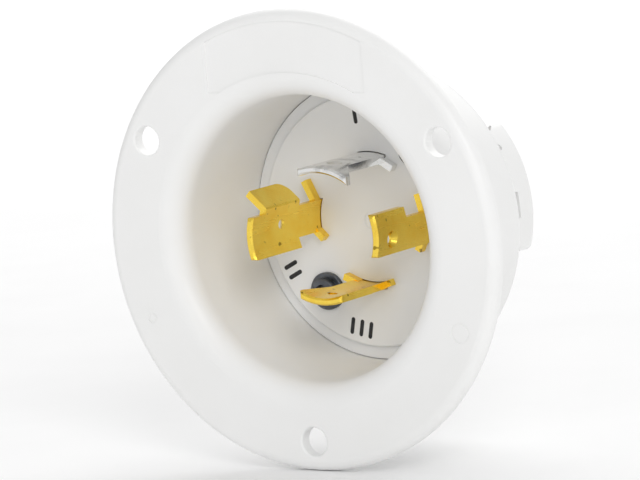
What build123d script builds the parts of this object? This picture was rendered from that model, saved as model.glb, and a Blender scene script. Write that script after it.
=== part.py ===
from build123d import *
from math import cos, radians, sin
import os

# Flanged four-pole locking power inlet.
# The origin is on the inlet's axis, in the flange's rear face, which seats on the panel.
# Seen from the front +X is to the right, +Z is up and +Y runs back through the panel.

# Flange
FLANGE_R = 42.0
FLANGE_T = 2.4
RIM_ROUND = 2.0
BOLT_CIRCLE_R = 36.5
PANEL_HOLE_R = 2.65
PANEL_HOLE_ANGLES = (30, 150, 270)
HOLE_ROUND = 0.4
FRONT_Y = -FLANGE_T

# Cup, barrel and the lip that the face plate rests on
MOUTH_ROUND = 4.5
CUP_MOUTH_R = 26.2
CUP_FLOOR_R = 26.0
BARREL_R = 29.8
BARREL_CORNER = 1.6
LIP_FRONT_Y = 24.4
LIP_REAR_Y = 26.2
LIP_R = 22.5

# Sunk pad and moulding marks on the flange
PAD_HALF_W = 17.0
PAD_SINK = 0.25
PAD_INNER_Z = 27.0
EJECTOR_MARKS = ((-33.6, -14.5, 1.0), (33.3, -15.8, 1.9))
MARK_SINK = 0.12
MARK_GROOVE = 0.3

# Face plate
PLATE_FRONT_Y = 22.0
PLATE_STEP_Y = 23.0
PLATE_RAISED_R = 23.5
PLATE_RIM_R = 25.85
SPIGOT_R = 22.3
SLOT_CLEARANCE = 0.12
CENTRE_MARK_R = 1.75
EDGE_ROUND = 0.35

# Blades: arc-section contacts on one circle
BLADE_IN_R = 11.45
BLADE_OUT_R = 12.75
TIP_Y = 4.4
EARTH_TIP_Y = -0.4
LOCK_Y = 14.4
NECK_CCW = 2.0
NECK_CW = 3.9
HEAD_CCW = 3.9
TIP_ROUND = 0.7
TIP_BEVEL = 0.35
TAIL_END_Y = 29.0
DIMPLE_Y = 9.2
DIMPLE_CW = 1.3
DIMPLE_R = 0.9
DIMPLE_SINK_R = 1.7

# Ears staked over in front of the plate: length and bend towards the axis, on each blade's
# anticlockwise side and then on its clockwise side
EAR_T = 1.2
EAR_WIDTH = 1.7
EARS = {
    "x": ((4.0, 14), (2.2, 30)),
    "w": ((3.2, 25), (3.3, 30)),
    "z": ((2.7, 45), (4.6, -26)),
    "y": ((2.6, 20), (3.2, 23)),
}

# Nib bent outward from the first-make blade's clockwise edge
NIB_ANGLE = 23.4
NIB_LEAN = 42.0
NIB_EDGE_CW = 4.8
NIB_FRONT_Y = 3.6
NIB_LENGTH = 4.4
NIB_ROUND = 2.6

# Terminals, in radius, tangent (anticlockwise) and depth
TERMINAL_R = 15.8
CLAMP_BACK_T = -3.6
TAIL_T = 1.3
TAIL_LOW_R = 13.0
TAIL_HIGH_R = 18.6
TAIL_FRONT_Y = 26.5
TAIL_REAR_Y = 36.0
YOKE_FRONT_Y = 29.8
YOKE_REAR_Y = 36.2
YOKE_WALL = 1.2
YOKE_HALF_R = 2.9
YOKE_OPEN_T = 1.9
YOKE_NUT_T = 2.0
PRESS_T = 1.1
PRESS_HALF_R = 2.55
PRESS_MARGIN = 0.4
PRESS_GAP = 0.3
CLAMP_TRAVEL = 2.3
SCREW_Y = 33.0
SCREW_R = 2.0
SCREW_RUNNING_FIT = 0.05
SCREW_END_GAP = 0.1
HEAD_R = 3.2
HEAD_T = 1.8
HEAD_LIFT = 0.2
DRIVE_SLOT = 0.9
DRIVE_DEPTH = 0.9

# Rear cover
COVER_REAR_Y = 39.0
COVER_HUB_R = 21.3
COVER_ARM_R = 24.5
COVER_ARM_HALF = 30.0
COVER_ARM_OFFSET = 11.0
COVER_CORNER = 1.2
COVER_ROUND = 1.0
COVER_BACK_WALL = 1.8
POCKET_IN_R = 10.5
POCKET_OUT_R = 20.4
POCKET_LOW_T = -5.1
POCKET_HIGH_T = 8.7
TOOL_HOLE_R = 3.7
WIRE_HOLE_R = 3.9
WIRE_HOLE_T = -0.9
WIRE_FUNNEL = 0.5
CORE_R = 8.0
CORE_DEPTH = 9.0
VENT_Y = 33.5
VENT_ANGLE = 3.0
VENT_W = 1.0
VENT_H = 4.8
VENT_DEPTH = 1.2
PIN_HOLE_ANGLE = 29.0
PIN_HOLE_R = 0.55

# Assembly screws and nuts
ASSEMBLY_R = 17.1
ASSEMBLY_ANGLES = (50.5, 230.5)
ASSEMBLY_SHANK_R = 1.75
ASSEMBLY_HOLE_R = 1.95
FLANGE_HEAD_R = 3.5
COLLAR_HEAD_R = 2.6
FLANGE_HEAD_T = 0.9
COLLAR_HEAD_T = 1.5
RECESS_R = 1.5
NUT_SIDE = 6.0
NUT_T = 2.4
NUT_POCKET_FIT = 0.15
ASSEMBLY_END_Y = 38.6

POLES = {"x": 0.0, "w": 90.0, "z": 180.0, "y": 270.0}
BLADE_HEAD_CW = {"x": 3.9, "w": 6.8, "z": 3.9, "y": 5.4}
NECK_START_Y = {"w": 9.8, "y": 13.0}

# How near an edge's radius must be to the one looked for
RADIUS_MATCH = 0.05


def cross_plane(angle, y):
    """Plane across the axis at y: its x points out along the pole, its y anticlockwise."""
    a = radians(angle)
    return Plane(origin=(0, y, 0), x_dir=(cos(a), 0, sin(a)), z_dir=(0, -1, 0))


def outward_plane(angle):
    """Plane through the axis that faces out along the pole: x is clockwise, y is depth."""
    a = radians(angle)
    return Plane(origin=(0, 0, 0), x_dir=(sin(a), 0, -cos(a)), z_dir=(cos(a), 0, sin(a)))


def flank_plane(angle, tangent):
    """Plane that faces anticlockwise at a tangent distance: x is radius, y is depth."""
    a = radians(angle)
    origin = (-tangent * sin(a), 0, tangent * cos(a))
    return Plane(origin=origin, x_dir=(cos(a), 0, sin(a)), z_dir=(-sin(a), 0, cos(a)))


def on_circle(radius, angle):
    a = radians(angle)
    return (radius * cos(a), radius * sin(a))


def edges_of_radius(builder, radius):
    circles = builder.edges().filter_by(GeomType.CIRCLE)
    return circles.filter_by(lambda edge: abs(edge.radius - radius) < RADIUS_MATCH)


def save(part, name):
    part.label = name
    export_step(part, f"parts/{name}.step")


def make_housing():
    """Flange, lead-in, cup wall, barrel and lip, turned about the axis."""
    mouth_r = CUP_MOUTH_R + MOUTH_ROUND
    with BuildPart() as housing:
        with BuildSketch(Plane.XY):
            with BuildLine():
                Polyline(
                    (mouth_r, FRONT_Y),
                    (FLANGE_R - RIM_ROUND, FRONT_Y),
                )
                TangentArc((FLANGE_R - RIM_ROUND, FRONT_Y), (FLANGE_R, FRONT_Y + RIM_ROUND), tangent=(1, 0))
                Polyline(
                    (FLANGE_R, FRONT_Y + RIM_ROUND),
                    (FLANGE_R, 0),
                    (BARREL_R, 0),
                    (BARREL_R, LIP_REAR_Y - BARREL_CORNER),
                )
                TangentArc(
                    (BARREL_R, LIP_REAR_Y - BARREL_CORNER),
                    (BARREL_R - BARREL_CORNER, LIP_REAR_Y),
                    tangent=(0, 1),
                )
                Polyline(
                    (BARREL_R - BARREL_CORNER, LIP_REAR_Y),
                    (LIP_R, LIP_REAR_Y),
                    (LIP_R, LIP_FRONT_Y),
                    (CUP_FLOOR_R, LIP_FRONT_Y),
                    (CUP_MOUTH_R, FRONT_Y + MOUTH_ROUND),
                )
                TangentArc((CUP_MOUTH_R, FRONT_Y + MOUTH_ROUND), (mouth_r, FRONT_Y), tangent=(0, -1))
            make_face()
        revolve(axis=Axis.Y)
        with BuildSketch(cross_plane(0, FRONT_Y)):
            with Locations([on_circle(BOLT_CIRCLE_R, a) for a in PANEL_HOLE_ANGLES]):
                Circle(PANEL_HOLE_R)
        extrude(amount=-FLANGE_T, mode=Mode.SUBTRACT)
        rims = edges_of_radius(housing, PANEL_HOLE_R)
        fillet(rims.group_by(Axis.Y)[0], radius=HOLE_ROUND)
        with BuildSketch(cross_plane(0, FRONT_Y)):
            Circle(FLANGE_R - RIM_ROUND)
            Circle(mouth_r, mode=Mode.SUBTRACT)
            with Locations((0, PAD_INNER_Z)):
                Rectangle(2 * PAD_HALF_W, FLANGE_R, align=(Align.CENTER, Align.MIN), mode=Mode.INTERSECT)
        extrude(amount=-PAD_SINK, mode=Mode.SUBTRACT)
        for x, z, radius in EJECTOR_MARKS:
            with BuildSketch(cross_plane(0, FRONT_Y)):
                with Locations((x, z)):
                    Circle(radius)
                    Circle(radius - MARK_GROOVE, mode=Mode.SUBTRACT)
            extrude(amount=-MARK_SINK, mode=Mode.SUBTRACT)
    return housing.part


def blade_outline(pole):
    """Corner points of a blade, clockwise distance by depth, from the tip's clockwise corner."""
    head_cw = BLADE_HEAD_CW[pole]
    tip = EARTH_TIP_Y if pole == "z" else TIP_Y
    points = [(head_cw, tip)]
    if pole == "z":
        points += [(head_cw, NIB_FRONT_Y), (NIB_EDGE_CW, NIB_FRONT_Y), (NIB_EDGE_CW, LOCK_Y), (NECK_CW, LOCK_Y)]
    if pole in NECK_START_Y:
        points += [(head_cw, tip + 2 * TIP_ROUND), (NECK_CW, NECK_START_Y[pole])]
    points += [(NECK_CW, TAIL_END_Y), (-NECK_CCW, TAIL_END_Y), (-NECK_CCW, LOCK_Y)]
    points += [(-HEAD_CCW, LOCK_Y), (-HEAD_CCW, tip)]
    return points


def make_nib(angle, mid_r):
    """Nib of sheet thickness, with a round knee on the blade's edge and a round rear corner."""
    depth = LOCK_Y - NIB_FRONT_Y
    along, across = on_circle(mid_r, NIB_LEAN - NIB_ANGLE)
    with BuildPart() as nib:
        with BuildSketch(cross_plane(angle, NIB_FRONT_Y)):
            with Locations(on_circle(mid_r, -NIB_ANGLE)):
                Circle(TAIL_T / 2)
        extrude(amount=-depth)
        with BuildSketch(flank_plane(angle - NIB_LEAN, across - TAIL_T / 2)) as outline:
            with Locations((along, NIB_FRONT_Y)):
                Rectangle(NIB_LENGTH, depth, align=(Align.MIN, Align.MIN))
            fillet(outline.vertices().group_by(Axis.X)[-1].sort_by(Axis.Y)[-1], radius=NIB_ROUND)
        extrude(amount=TAIL_T)
    return nib.part


def make_blade(pole):
    """Arc-section blade with its locking shoulder, staked ears, dimple and terminal tail."""
    angle = POLES[pole]
    tip = EARTH_TIP_Y if pole == "z" else TIP_Y
    with BuildPart() as blade:
        with BuildSketch(Plane.XY) as band:
            with Locations((BLADE_IN_R, tip)):
                Rectangle(BLADE_OUT_R - BLADE_IN_R, TAIL_END_Y - tip, align=(Align.MIN, Align.MIN))
            chamfer(band.vertices().group_by(Axis.Y)[0], length=TIP_BEVEL)
        revolve(axis=Axis.Y)
        with BuildSketch(outward_plane(angle)) as outline:
            with BuildLine():
                Polyline(*blade_outline(pole), close=True)
            make_face()
            fillet(outline.vertices().group_by(Axis.Y)[0], radius=TIP_ROUND)
        extrude(amount=FLANGE_R, mode=Mode.INTERSECT)
        with Locations(outward_plane(angle).offset(BLADE_OUT_R)):
            with Locations((DIMPLE_CW, DIMPLE_Y)):
                CounterSinkHole(DIMPLE_R, DIMPLE_SINK_R, depth=2 * (BLADE_OUT_R - BLADE_IN_R))
        mid_r = (BLADE_IN_R + BLADE_OUT_R) / 2
        (ccw_length, ccw_bend), (cw_length, cw_bend) = EARS[pole]
        with BuildSketch(cross_plane(angle, PLATE_FRONT_Y)):
            with Locations(Location((mid_r, NECK_CCW - EAR_T / 2), 90 + ccw_bend)):
                Rectangle(ccw_length, EAR_T, align=(Align.MIN, Align.CENTER))
            with Locations(Location((mid_r - EAR_T / 2, -NECK_CW + EAR_T / 2), -90 - cw_bend)):
                Rectangle(cw_length, EAR_T, align=(Align.MIN, Align.CENTER))
        extrude(amount=EAR_WIDTH)
        if pole == "z":
            add(make_nib(angle, mid_r))
        with BuildSketch(flank_plane(angle, CLAMP_BACK_T)):
            with BuildLine():
                Polyline(
                    (BLADE_IN_R + EAR_T / 2, TAIL_FRONT_Y),
                    (TAIL_HIGH_R, TAIL_FRONT_Y),
                    (TAIL_HIGH_R, TAIL_REAR_Y),
                    (TAIL_LOW_R, TAIL_REAR_Y),
                    (TAIL_LOW_R, TAIL_END_Y),
                    (BLADE_IN_R + EAR_T / 2, TAIL_END_Y),
                    close=True,
                )
            make_face()
        extrude(amount=TAIL_T)
    return blade.part


def make_slot(pole, depth_y, length):
    """Blade-shaped tool: the blade's neck band grown by the slot clearance."""
    grow = SLOT_CLEARANCE
    with BuildPart() as tool:
        with BuildSketch(cross_plane(0, depth_y)):
            Circle(BLADE_OUT_R + grow)
            Circle(BLADE_IN_R - grow, mode=Mode.SUBTRACT)
        extrude(amount=-length)
        with BuildSketch(outward_plane(POLES[pole])):
            with Locations(((NECK_CW - NECK_CCW) / 2, depth_y)):
                Rectangle(NECK_CW + NECK_CCW + 2 * grow, 2 * length + 2)
        extrude(amount=FLANGE_R, mode=Mode.INTERSECT)
    return tool.part


def make_face_plate():
    """Insulating disc with a raised face, four blade slots and two screw holes."""
    slots = [make_slot(pole, PLATE_FRONT_Y - 1, FLANGE_R) for pole in POLES]
    screw_places = [on_circle(ASSEMBLY_R, a) for a in ASSEMBLY_ANGLES]
    with BuildPart() as plate:
        for start_y, end_y, radius in (
            (PLATE_FRONT_Y, PLATE_STEP_Y, PLATE_RAISED_R),
            (PLATE_STEP_Y, LIP_FRONT_Y, PLATE_RIM_R),
            (LIP_FRONT_Y, LIP_REAR_Y, SPIGOT_R),
        ):
            with BuildSketch(cross_plane(0, start_y)):
                Circle(radius)
            extrude(amount=start_y - end_y)
        fillet(plate.edges().group_by(Axis.Y)[0], radius=EDGE_ROUND)
        with BuildSketch(cross_plane(0, PLATE_FRONT_Y)):
            Circle(CENTRE_MARK_R)
            Circle(CENTRE_MARK_R - MARK_GROOVE, mode=Mode.SUBTRACT)
        extrude(amount=-MARK_SINK, mode=Mode.SUBTRACT)
        with BuildSketch(cross_plane(0, PLATE_FRONT_Y)):
            with Locations(screw_places):
                Circle(ASSEMBLY_HOLE_R)
        extrude(amount=PLATE_FRONT_Y - LIP_REAR_Y, mode=Mode.SUBTRACT)
        for slot in slots:
            add(slot, mode=Mode.SUBTRACT)
    return plate.part


def make_cover_pocket(angle):
    """Terminal pocket of the rear cover, with its wire entry and screwdriver hole."""
    pocket_mid_r = (POCKET_IN_R + POCKET_OUT_R) / 2
    pocket_mid_t = (POCKET_LOW_T + POCKET_HIGH_T) / 2
    inner_y = COVER_REAR_Y - COVER_BACK_WALL
    with BuildPart() as pocket:
        with BuildSketch(cross_plane(angle, LIP_REAR_Y)):
            with Locations((pocket_mid_r, pocket_mid_t)):
                Rectangle(POCKET_OUT_R - POCKET_IN_R, POCKET_HIGH_T - POCKET_LOW_T)
        extrude(amount=LIP_REAR_Y - inner_y)
        with BuildSketch(cross_plane(angle, inner_y)):
            with Locations((TERMINAL_R, WIRE_HOLE_T)):
                Circle(WIRE_HOLE_R)
        extrude(amount=-COVER_BACK_WALL)
        with BuildSketch(cross_plane(angle, COVER_REAR_Y)):
            with Locations((TERMINAL_R, WIRE_HOLE_T)):
                Circle(WIRE_HOLE_R + WIRE_FUNNEL)
        extrude(amount=WIRE_FUNNEL, taper=45)
        with BuildSketch(flank_plane(angle, POCKET_HIGH_T - 1)):
            with Locations((TERMINAL_R, SCREW_Y)):
                Circle(TOOL_HOLE_R)
        extrude(amount=COVER_ARM_R)
    return pocket.part


def make_cover_marks(angle):
    """Narrow latch window and pin hole in the outer wall of one arm."""
    with BuildPart() as marks:
        with BuildSketch(outward_plane(angle + VENT_ANGLE).offset(COVER_ARM_R - VENT_DEPTH)):
            with Locations((0, VENT_Y)):
                Rectangle(VENT_H, VENT_W)
        extrude(amount=2 * VENT_DEPTH)
        with BuildSketch(outward_plane(angle + PIN_HOLE_ANGLE).offset(COVER_ARM_R - VENT_DEPTH)):
            with Locations((0, VENT_Y)):
                Circle(PIN_HOLE_R)
        extrude(amount=2 * VENT_DEPTH)
    return marks.part


def make_rear_cover():
    """Terminal housing: a hub with four arms, one wiring pocket in each."""
    depth = COVER_REAR_Y - LIP_REAR_Y
    tools = [make_cover_pocket(a) for a in POLES.values()] + [make_cover_marks(a) for a in POLES.values()]
    screw_places = [on_circle(ASSEMBLY_R, a) for a in ASSEMBLY_ANGLES]
    with BuildPart() as cover:
        with BuildSketch(cross_plane(0, LIP_REAR_Y)) as outline:
            Circle(COVER_HUB_R)
            for angle in POLES.values():
                start = angle + COVER_ARM_OFFSET - COVER_ARM_HALF
                with BuildLine():
                    arm = CenterArc((0, 0), COVER_ARM_R, start, 2 * COVER_ARM_HALF)
                    Line((0, 0), arm @ 0)
                    Line((0, 0), arm @ 1)
                make_face()
            fillet(outline.vertices(), radius=COVER_CORNER)
        extrude(amount=-depth)
        fillet(cover.edges().group_by(Axis.Y)[-1], radius=COVER_ROUND)
        with BuildSketch(cross_plane(0, COVER_REAR_Y)):
            Circle(CORE_R)
        extrude(amount=CORE_DEPTH, mode=Mode.SUBTRACT)
        with BuildSketch(cross_plane(0, LIP_REAR_Y)):
            with Locations(screw_places):
                Circle(ASSEMBLY_HOLE_R)
        extrude(amount=-depth, mode=Mode.SUBTRACT)
        for angle in ASSEMBLY_ANGLES:
            with BuildSketch(cross_plane(angle, COVER_REAR_Y)):
                with Locations((ASSEMBLY_R, 0)):
                    Rectangle(NUT_SIDE + 2 * NUT_POCKET_FIT, NUT_SIDE + 2 * NUT_POCKET_FIT)
            extrude(amount=NUT_T, mode=Mode.SUBTRACT)
        for tool in tools:
            add(tool, mode=Mode.SUBTRACT)
    return cover.part


def make_yoke(angle):
    """Rectangular terminal frame, tapped through its anticlockwise wall for the screw."""
    outer_low = CLAMP_BACK_T - YOKE_WALL
    outer_high = YOKE_OPEN_T + YOKE_NUT_T
    with BuildPart() as yoke:
        with BuildSketch(cross_plane(angle, YOKE_FRONT_Y)):
            with Locations((TERMINAL_R, (outer_low + outer_high) / 2)):
                Rectangle(2 * (YOKE_HALF_R + YOKE_WALL), outer_high - outer_low)
            with Locations((TERMINAL_R, (CLAMP_BACK_T + YOKE_OPEN_T) / 2)):
                Rectangle(2 * YOKE_HALF_R, YOKE_OPEN_T - CLAMP_BACK_T, mode=Mode.SUBTRACT)
        extrude(amount=YOKE_FRONT_Y - YOKE_REAR_Y)
        fillet(yoke.edges().filter_by(Axis.Y).group_by(SortBy.DISTANCE)[-1], radius=EDGE_ROUND)
        with BuildSketch(flank_plane(angle, YOKE_OPEN_T)):
            with Locations((TERMINAL_R, SCREW_Y)):
                Circle(SCREW_R + SCREW_RUNNING_FIT)
        extrude(amount=YOKE_NUT_T, mode=Mode.SUBTRACT)
    return yoke.part


def make_pressure_plate(angle):
    """Plate that the screw drives clockwise across the frame, on to the wire."""
    outer_t = YOKE_OPEN_T - PRESS_GAP
    mid_y = (YOKE_FRONT_Y + YOKE_REAR_Y) / 2
    length = YOKE_REAR_Y - YOKE_FRONT_Y - 2 * PRESS_MARGIN
    with BuildPart() as plate:
        with BuildSketch(flank_plane(angle, outer_t - PRESS_T)):
            with Locations((TERMINAL_R, mid_y)):
                Rectangle(2 * PRESS_HALF_R, length)
        extrude(amount=PRESS_T)
        fillet(plate.edges().filter_by(Axis.Y), radius=EDGE_ROUND)
    return plate.part


def make_terminal_screw(angle):
    """Slotted clamp screw, backed out by the clamp's travel."""
    start = YOKE_OPEN_T - PRESS_GAP + SCREW_END_GAP
    head = YOKE_OPEN_T + YOKE_NUT_T + CLAMP_TRAVEL + HEAD_LIFT
    with BuildPart() as screw:
        with BuildSketch(flank_plane(angle, start)):
            with Locations((TERMINAL_R, SCREW_Y)):
                Circle(SCREW_R)
        extrude(amount=head - start)
        with BuildSketch(flank_plane(angle, head)):
            with Locations((TERMINAL_R, SCREW_Y)):
                Circle(HEAD_R)
        extrude(amount=HEAD_T)
        fillet(edges_of_radius(screw, HEAD_R), radius=EDGE_ROUND)
        with BuildSketch(flank_plane(angle, head + HEAD_T)):
            with Locations((TERMINAL_R, SCREW_Y)):
                Rectangle(2 * HEAD_R, DRIVE_SLOT)
        extrude(amount=-DRIVE_DEPTH, mode=Mode.SUBTRACT)
    return screw.part


def make_assembly_screws():
    """Two through screws with a stepped round head and a blind recess."""
    steps = (
        (PLATE_FRONT_Y, FLANGE_HEAD_R, FLANGE_HEAD_T),
        (PLATE_FRONT_Y - FLANGE_HEAD_T, COLLAR_HEAD_R, COLLAR_HEAD_T),
    )
    top_y = PLATE_FRONT_Y - FLANGE_HEAD_T - COLLAR_HEAD_T
    with BuildPart() as screws:
        for angle in ASSEMBLY_ANGLES:
            for start_y, radius, height in steps:
                with BuildSketch(cross_plane(angle, start_y)):
                    with Locations((ASSEMBLY_R, 0)):
                        Circle(radius)
                extrude(amount=height)
            with BuildSketch(cross_plane(angle, top_y)):
                with Locations((ASSEMBLY_R, 0)):
                    Circle(RECESS_R)
            extrude(amount=-COLLAR_HEAD_T, mode=Mode.SUBTRACT)
            with BuildSketch(cross_plane(angle, PLATE_FRONT_Y)):
                with Locations((ASSEMBLY_R, 0)):
                    Circle(ASSEMBLY_SHANK_R)
            extrude(amount=PLATE_FRONT_Y - ASSEMBLY_END_Y)
        for start_y, radius, height in steps:
            rims = edges_of_radius(screws, radius)
            fillet(rims.group_by(Axis.Y)[0], radius=EDGE_ROUND / 2)
    return screws.part


def make_assembly_nuts():
    """Two square nuts in the rear cover's pockets."""
    with BuildPart() as nuts:
        for angle in ASSEMBLY_ANGLES:
            with BuildSketch(cross_plane(angle, COVER_REAR_Y - NUT_T)):
                with Locations((ASSEMBLY_R, 0)):
                    Rectangle(NUT_SIDE, NUT_SIDE)
                    Circle(ASSEMBLY_SHANK_R, mode=Mode.SUBTRACT)
            extrude(amount=-NUT_T)
    return nuts.part


os.makedirs("parts", exist_ok=True)
save(make_housing(), "flange_housing")
save(make_face_plate(), "face_plate")
save(make_rear_cover(), "rear_cover")
save(make_assembly_screws(), "assembly_screws")
save(make_assembly_nuts(), "assembly_nuts")
for pole_name, pole_angle in POLES.items():
    save(make_blade(pole_name), f"blade_{pole_name}")
    save(make_yoke(pole_angle), f"terminal_yoke_{pole_name}")
    save(make_pressure_plate(pole_angle), f"pressure_plate_{pole_name}")
    save(make_terminal_screw(pole_angle), f"terminal_screw_{pole_name}")
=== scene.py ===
"""Looks of a flanged locking power inlet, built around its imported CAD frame. Metres."""
from math import cos, pi, radians, sin

import bmesh
import bpy
from mathutils import Matrix, Vector


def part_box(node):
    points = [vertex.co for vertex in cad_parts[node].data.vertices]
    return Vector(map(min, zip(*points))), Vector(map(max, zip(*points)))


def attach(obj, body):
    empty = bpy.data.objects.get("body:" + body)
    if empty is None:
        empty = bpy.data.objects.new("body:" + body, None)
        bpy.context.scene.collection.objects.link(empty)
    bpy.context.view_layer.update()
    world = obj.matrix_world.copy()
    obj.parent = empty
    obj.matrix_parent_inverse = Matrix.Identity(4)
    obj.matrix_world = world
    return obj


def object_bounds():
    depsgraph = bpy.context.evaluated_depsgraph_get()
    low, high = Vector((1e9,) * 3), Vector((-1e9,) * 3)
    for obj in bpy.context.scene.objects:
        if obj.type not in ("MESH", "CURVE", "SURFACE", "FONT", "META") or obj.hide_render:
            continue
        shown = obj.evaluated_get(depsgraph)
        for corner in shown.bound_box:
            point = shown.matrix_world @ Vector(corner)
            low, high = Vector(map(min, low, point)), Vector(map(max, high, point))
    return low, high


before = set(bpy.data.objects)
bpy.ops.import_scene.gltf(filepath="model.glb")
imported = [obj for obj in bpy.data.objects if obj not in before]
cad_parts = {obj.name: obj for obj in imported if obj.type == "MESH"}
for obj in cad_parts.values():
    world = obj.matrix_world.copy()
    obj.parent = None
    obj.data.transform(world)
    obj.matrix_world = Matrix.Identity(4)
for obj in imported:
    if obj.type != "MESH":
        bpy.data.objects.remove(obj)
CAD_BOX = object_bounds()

MM = 0.001
BLACK = (0.0, 0.0, 0.0)
FLOOR_Z = CAD_BOX[0][2]

# Noise scales, each for an object measured in metres
NYLON_CLOUD_SCALE = 45
NYLON_SKIN_SCALE = 900
METAL_LINE_SCALE = 260
METAL_CLOUD_SCALE = 210
METAL_PIT_SCALE = 1500
METAL_SPECK_SCALE = 700
INK_FILM_SCALE = 1200
FLOOR_GRAIN_SCALE = 30

# How far roughness strays below and above a material's own value, and ink's lowest and highest
NYLON_ROUGHNESS = (-0.05, 0.07)
METAL_ROUGHNESS = (-0.08, 0.12)
INK_ROUGHNESS = (0.45, 0.70)

# Bumps: distance in metres, then strength
NYLON_CLOUD_BUMP = (0.0002, 0.25)
NYLON_SKIN_BUMP = (0.00003, 0.35)
METAL_LINE_BUMP = (0.00004, 0.35)
METAL_PIT_BUMP = (0.00002, 0.3)
INK_BUMP = (0.00002, 0.3)

# Nylon: where its two tints start, and the little light that its skin lets through
NYLON_SHADE_STOP = 0.3
NYLON_BASE_STOP = 0.7
NYLON_SUBSURFACE = 0.12
NYLON_SUBSURFACE_RADIUS = (1.0, 1.0, 1.0)
NYLON_SPECULAR = 0.45

# Metal: where its darker patches start (wear on the brass and steel, painted dark reflections on
# the nickel plate), and how the specks fade out
WEAR_AND_REFLECTION_START = 0.25
SOIL_SHADE = 0.25
SPECK_STOPS = ((0.24, (0.8, 0.8, 0.8)), (0.29, BLACK))
INK_STOPS = ((0.3, (0.006, 0.006, 0.007)), (0.8, (0.03, 0.03, 0.032)))

# CAD nodes
SMOOTH_ANGLE = radians(28)
BEVELLED = ("blade_", "terminal_", "assembly_screws")
BEVEL_WIDTH = 0.12 * MM
BEVEL_SEGMENTS = 2
BEVEL_ANGLE = radians(40)

# Ink bars on the face plate, in mm: bars in the group, its angle in degrees and its radius
BAR_GROUPS = ((1, 96, 19.6), (2, 207, 20.8), (3, 258, 20.5))
BAR_PITCH = 2.0
BAR_LENGTH = 3.2
BAR_WIDTH = 0.8
BAR_STEPS = 12
INK_PROUD = 0.02
INK_DEPTH = 0.04

# Stage
FLOOR_HALF = 6.0
FLOOR_STOPS = ((0.2, (0.93, 0.93, 0.93)), (0.8, (0.96, 0.96, 0.96)))
FLOOR_ROUGHNESS = 0.9
WORLD_STRENGTH = 0.6

# Camera: a long lens right of the front and a little above, rolled slightly
CAMERA_PLACE = (0.5671, -0.8136, 0.1427)
CAMERA_RIGHT = (0.8258, 0.5581, -0.0810)
CAMERA_FORWARD = (-0.5638, 0.8135, -0.1426)
CAMERA_LENS = 313.8
CAMERA_SENSOR = 36.0
CAMERA_CLIP = (0.01, 50)

# Area lights: name, place, target, size in metres and power in watts
LIGHTS = (
    ("key", (1.1, -1.1, 0.85), (0, 0, 0), (0.7, 0.7), 8),
    ("front", (0.3, -1.3, 0.1), (0, 0, 0), (0.5, 0.5), 1.5),
    ("top", (-0.5, 1.6, 1.3), (-0.5, 1.5, FLOOR_Z), (2.6, 1.8), 28),
)


# ---------------------------------------------------------------- node helpers
def new_material(name):
    """A material, its tree and the Principled shader in it."""
    material = bpy.data.materials.new(name)
    material.use_nodes = True
    tree = material.node_tree
    return material, tree, tree.nodes["Principled BSDF"]


def node(tree, kind, links):
    """Adds a node and links sources to its inputs, by the inputs' names."""
    made = tree.nodes.new(kind)
    for socket, source in links.items():
        tree.links.new(source, made.inputs[socket])
    return made


def noise(tree, scale, detail=4.0, roughness=0.55, stretch=(1, 1, 1)):
    """Noise in object coordinates, stretched by a scale for each axis."""
    coords = node(tree, "ShaderNodeTexCoord", {})
    mapping = node(tree, "ShaderNodeMapping", {"Vector": coords.outputs["Object"]})
    mapping.inputs["Scale"].default_value = stretch
    made = node(tree, "ShaderNodeTexNoise", {"Vector": mapping.outputs[0]})
    made.inputs["Scale"].default_value = scale
    made.inputs["Detail"].default_value = detail
    made.inputs["Roughness"].default_value = roughness
    return made.outputs["Fac"]


def ramp(tree, source, stops):
    """Colour ramp with two stops, each a position and a colour."""
    made = node(tree, "ShaderNodeValToRGB", {"Fac": source})
    for element, (place, colour) in zip(made.color_ramp.elements, stops):
        element.position = place
        element.color = (*colour, 1)
    return made.outputs["Color"]


def spread(tree, source, low, high):
    """Maps a 0 to 1 value to low to high."""
    made = node(tree, "ShaderNodeMapRange", {"Value": source})
    made.inputs["To Min"].default_value = low
    made.inputs["To Max"].default_value = high
    return made.outputs[0]


def bump(tree, shader, heights):
    """Chains bumps into the shader. Each is a height source and its distance and strength."""
    normal = None
    for source, (distance, strength) in heights:
        made = node(tree, "ShaderNodeBump", {"Height": source})
        made.inputs["Distance"].default_value = distance
        made.inputs["Strength"].default_value = strength
        if normal:
            tree.links.new(normal, made.inputs["Normal"])
        normal = made.outputs["Normal"]
    tree.links.new(normal, shader.inputs["Normal"])


# ---------------------------------------------------------------- materials
def nylon(name, base, shade, roughness):
    """Moulded nylon: faint flow clouds, a soft sheen and a very fine skin texture."""
    material, tree, shader = new_material(name)
    clouds = noise(tree, NYLON_CLOUD_SCALE, detail=3)
    skin = noise(tree, NYLON_SKIN_SCALE, detail=2)
    tint = ramp(tree, clouds, ((NYLON_SHADE_STOP, shade), (NYLON_BASE_STOP, base)))
    low, high = (roughness + change for change in NYLON_ROUGHNESS)
    tree.links.new(tint, shader.inputs["Base Color"])
    tree.links.new(spread(tree, skin, low, high), shader.inputs["Roughness"])
    shader.inputs["Subsurface Weight"].default_value = NYLON_SUBSURFACE
    shader.inputs["Subsurface Radius"].default_value = NYLON_SUBSURFACE_RADIUS
    shader.inputs["Subsurface Scale"].default_value = MM
    shader.inputs["Specular IOR Level"].default_value = NYLON_SPECULAR
    bump(tree, shader, ((clouds, NYLON_CLOUD_BUMP), (skin, NYLON_SKIN_BUMP)))
    return material


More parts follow.
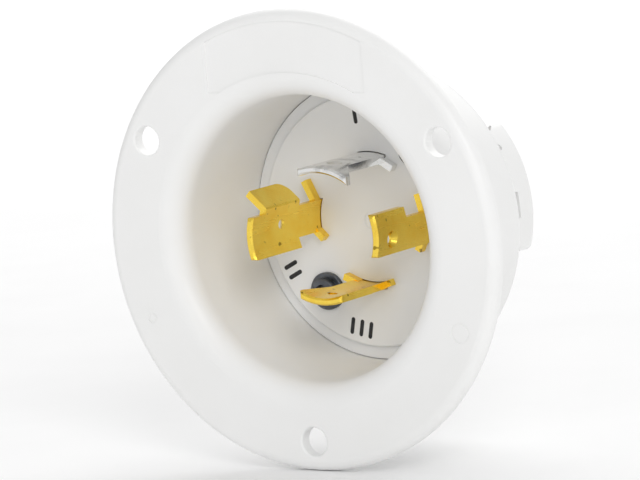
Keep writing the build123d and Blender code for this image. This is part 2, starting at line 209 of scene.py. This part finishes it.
def specked(tree, tint, dark):
    """The tint with small dark specks of handling soil."""
    specks = noise(tree, METAL_SPECK_SCALE, detail=1, roughness=0.4)
    mix = tree.nodes.new("ShaderNodeMix")
    mix.data_type = "RGBA"
    tree.links.new(ramp(tree, specks, SPECK_STOPS), mix.inputs["Factor"])
    tree.links.new(tint, mix.inputs["A"])
    mix.inputs["B"].default_value = (*(SOIL_SHADE * channel for channel in dark), 1)
    return mix.outputs["Result"]


def metal(name, base, dark, roughness, along=(1, 1, 1), wear_and_reflection_spread=0.35):
    """Rolled, turned or plated metal: fine lines, pits, darker patches and specks. The darker
    patches are wear, and on the nickel plate they are painted dark reflections.
    """
    material, tree, shader = new_material(name)
    lines = noise(tree, METAL_LINE_SCALE, detail=3, roughness=0.6, stretch=along)
    clouds = noise(tree, METAL_CLOUD_SCALE, detail=4, roughness=0.6)
    pits = noise(tree, METAL_PIT_SCALE, detail=2)
    # Darker patches in the tint: wear, and on the nickel plate painted dark reflections
    tint = ramp(tree, clouds, ((WEAR_AND_REFLECTION_START, dark), (WEAR_AND_REFLECTION_START + wear_and_reflection_spread, base)))
    low, high = (roughness + change for change in METAL_ROUGHNESS)
    tree.links.new(specked(tree, tint, dark), shader.inputs["Base Color"])
    tree.links.new(spread(tree, lines, low, high), shader.inputs["Roughness"])
    shader.inputs["Metallic"].default_value = 1.0
    bump(tree, shader, ((lines, METAL_LINE_BUMP), (pits, METAL_PIT_BUMP)))
    return material


def ink(name):
    """Matt black pad-printing ink with a slightly uneven film."""
    material, tree, shader = new_material(name)
    film = noise(tree, INK_FILM_SCALE, detail=3)
    tree.links.new(ramp(tree, film, INK_STOPS), shader.inputs["Base Color"])
    tree.links.new(spread(tree, film, *INK_ROUGHNESS), shader.inputs["Roughness"])
    bump(tree, shader, ((film, INK_BUMP),))
    return material


def floor_material():
    """Pale, matt and very slightly uneven."""
    material, tree, shader = new_material("floor")
    grain = noise(tree, FLOOR_GRAIN_SCALE, detail=2)
    tree.links.new(ramp(tree, grain, FLOOR_STOPS), shader.inputs["Base Color"])
    shader.inputs["Roughness"].default_value = FLOOR_ROUGHNESS
    return material


# Each line gives the lighter colour, the darker colour and the roughness
WHITE = nylon("moulded_nylon", (0.90, 0.90, 0.895), (0.87, 0.87, 0.862), 0.38)
PLATE = nylon("plate_nylon", (0.86, 0.865, 0.87), (0.83, 0.835, 0.838), 0.45)
BRASS = metal("rolled_brass", (1.0, 0.73, 0.11), (0.96, 0.61, 0.06), 0.24, (1.0, 0.08, 1.0))
YOKE_BRASS = metal("tumbled_brass", (0.78, 0.52, 0.14), (0.60, 0.38, 0.09), 0.38)
SCREW_BRASS = metal("turned_brass", (0.85, 0.58, 0.16), (0.68, 0.43, 0.10), 0.28)
# The nickel plate's dark tint (0.30) is painted dark reflection, laid on in patches across the
# blade
NICKEL = metal("nickel_plate", (0.84, 0.84, 0.83), (0.30, 0.30, 0.30), 0.16, (1.0, 0.5, 1.0), 0.2)
STEEL = metal("zinc_steel", (0.62, 0.63, 0.65), (0.45, 0.46, 0.48), 0.36)
DARK_STEEL = metal("blued_steel", (0.16, 0.17, 0.19), (0.06, 0.065, 0.07), 0.32)
INK = ink("print_ink")

NODE_MATERIALS = {
    "flange_housing": WHITE,
    "rear_cover": WHITE,
    "face_plate": PLATE,
    "assembly_screws": DARK_STEEL,
    "assembly_nuts": STEEL,
    "blade_w": NICKEL,
    "terminal_screw_w": NICKEL,
}
PREFIX_MATERIALS = {
    "blade_": BRASS,
    "terminal_yoke_": YOKE_BRASS,
    "pressure_plate_": STEEL,
    "terminal_screw_": SCREW_BRASS,
}


# ---------------------------------------------------------------- CAD nodes
def node_material(name):
    """A node's own material, or else the one for its kind of piece."""
    if name in NODE_MATERIALS:
        return NODE_MATERIALS[name]
    return next(PREFIX_MATERIALS[p] for p in PREFIX_MATERIALS if name.startswith(p))


def soften_edges(obj):
    """Small bevel that catches the light along stamped and turned edges."""
    bevel = obj.modifiers.new("edge", "BEVEL")
    bevel.width = BEVEL_WIDTH
    bevel.segments = BEVEL_SEGMENTS
    bevel.limit_method = "ANGLE"
    bevel.angle_limit = BEVEL_ANGLE
    bevel.harden_normals = True


def finish_cad_nodes():
    """Gives every CAD node its material and smooth shading with sharp edges kept."""
    for name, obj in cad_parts.items():
        material = node_material(name)
        if not obj.material_slots:
            obj.data.materials.append(material)
        for slot in obj.material_slots:
            slot.material = material
        obj.data.shade_smooth()
        obj.data.set_sharp_from_angle(angle=SMOOTH_ANGLE)
        if name.startswith(BEVELLED):
            soften_edges(obj)


# ---------------------------------------------------------------- generic print on the face plate
def bar_outline():
    """Points round a bar with round ends, centred on the origin, in mm."""
    points = []
    for side in (1, -1):
        for step in range(BAR_STEPS + 1):
            turn = side * pi / 2 - pi * step / BAR_STEPS
            x = side * (BAR_LENGTH - BAR_WIDTH) / 2 + BAR_WIDTH / 2 * cos(turn)
            points.append((x, BAR_WIDTH / 2 * sin(turn)))
    return points


def turned(x, z, degrees):
    """A point of the face turned about the object's axis."""
    a = radians(degrees)
    return x * cos(a) - z * sin(a), x * sin(a) + z * cos(a)


def plate_mark(name, radius, slide, angle):
    """A flat ink bar just proud of the face plate, lying along the radius at that angle."""
    face_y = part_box("face_plate")[0][1] - INK_PROUD * MM
    mesh = bpy.data.meshes.new(name)
    work = bmesh.new()
    ring = []
    for along, across in bar_outline():
        x, z = turned(radius + along, slide + across, angle)
        ring.append(work.verts.new((x * MM, face_y, z * MM)))
    front = work.faces.new(ring)
    made = bmesh.ops.extrude_face_region(work, geom=[front])
    moved = [v for v in made["geom"] if isinstance(v, bmesh.types.BMVert)]
    bmesh.ops.translate(work, verts=moved, vec=(0, INK_DEPTH * MM, 0))
    bmesh.ops.recalc_face_normals(work, faces=work.faces)
    work.to_mesh(mesh)
    work.free()
    mesh.materials.append(INK)
    bar = bpy.data.objects.new(name, mesh)
    bpy.context.scene.collection.objects.link(bar)
    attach(bar, "root")


def make_print():
    """Groups of one, two and three bars that tell the contacts apart."""
    for count, angle, radius in BAR_GROUPS:
        for index in range(count):
            slide = (index - (count - 1) / 2) * BAR_PITCH
            plate_mark(f"mark_{angle}_{index}", radius, slide, angle)


# ---------------------------------------------------------------- stage
def make_floor():
    """Pale floor that the flange's lowest edge touches."""
    mesh = bpy.data.meshes.new("floor")
    turns = ((-1, -1), (1, -1), (1, 1), (-1, 1))
    corners = [(x * FLOOR_HALF, y * FLOOR_HALF, FLOOR_Z) for x, y in turns]
    mesh.from_pydata(corners, [], [(0, 1, 2, 3)])
    mesh.materials.append(floor_material())
    floor = bpy.data.objects.new("floor", mesh)
    bpy.context.scene.collection.objects.link(floor)


def make_camera():
    """Camera that sees the front from its right, set as the scene's own."""
    right = Vector(CAMERA_RIGHT).normalized()
    up = right.cross(Vector(CAMERA_FORWARD).normalized()).normalized()
    forward = up.cross(right).normalized()
    data = bpy.data.cameras.new("camera")
    data.lens = CAMERA_LENS
    data.sensor_width = CAMERA_SENSOR
    data.clip_start, data.clip_end = CAMERA_CLIP
    camera = bpy.data.objects.new("camera", data)
    basis = Matrix((right, up, -forward)).transposed().to_4x4()
    camera.matrix_world = Matrix.Translation(CAMERA_PLACE) @ basis
    bpy.context.scene.collection.objects.link(camera)
    bpy.context.scene.camera = camera


def make_world():
    """Even white surroundings, and a view transform that keeps white as white."""
    world = bpy.data.worlds.new("studio")
    world.use_nodes = True
    background = world.node_tree.nodes["Background"]
    background.inputs["Color"].default_value = (1, 1, 1, 1)
    background.inputs["Strength"].default_value = WORLD_STRENGTH
    bpy.context.scene.world = world
    bpy.context.scene.view_settings.view_transform = "Standard"


def area_light(name, place, target, size, power):
    """Rectangular softbox that faces its target."""
    light = bpy.data.lights.new(name, "AREA")
    light.shape = "RECTANGLE"
    light.size, light.size_y = size
    light.energy = power
    obj = bpy.data.objects.new(name, light)
    obj.location = place
    facing = Vector(target) - Vector(place)
    obj.rotation_euler = facing.to_track_quat("-Z", "Y").to_euler()
    bpy.context.scene.collection.objects.link(obj)


finish_cad_nodes()
make_print()
make_floor()
make_camera()
make_world()
for light_facts in LIGHTS:
    area_light(*light_facts)
